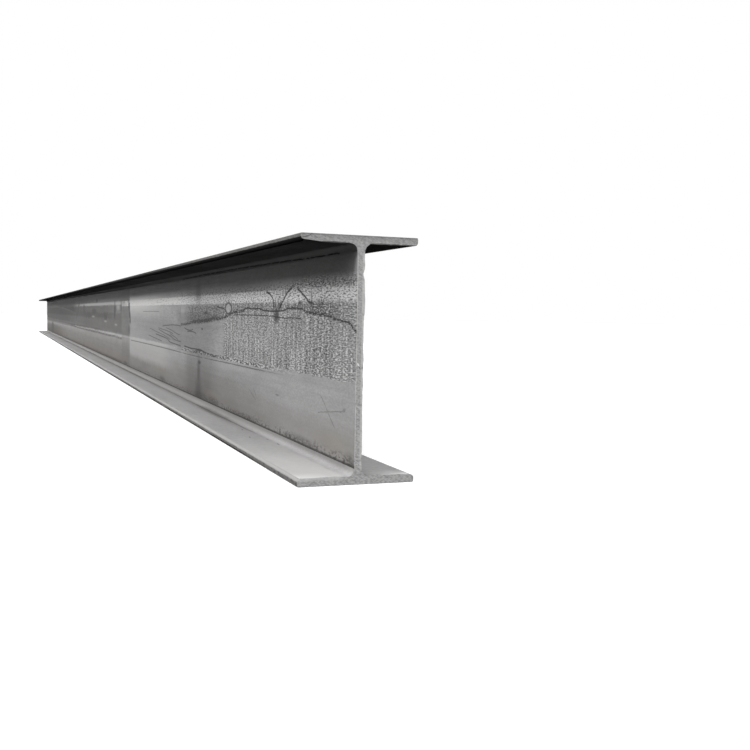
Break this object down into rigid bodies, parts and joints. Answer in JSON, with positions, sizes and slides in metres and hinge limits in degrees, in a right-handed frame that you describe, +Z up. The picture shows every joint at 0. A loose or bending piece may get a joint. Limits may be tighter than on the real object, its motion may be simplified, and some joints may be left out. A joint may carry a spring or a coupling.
{
  "type": "steel i-beam",
  "caption": "Hot-rolled steel I-beam with parallel flanges and rounded roots, one straight stock length sawn square at both ends.",
  "frame": {"origin": "middle of the underside of the bottom flange, half way along the length", "axes": "+X along the length, towards the sawn end that the picture shows; +Y across the flanges; +Z up the depth of the web"},
  "size_m": [7, 0.124, 0.248],
  "materials": {
    "rolled_steel": "hot-rolled mill scale, dull grey with dark stains, sawn ends"
  },
  "bodies": {
    "root": {"i_beam": "rolled_steel"}
  },
  "joints": []
}
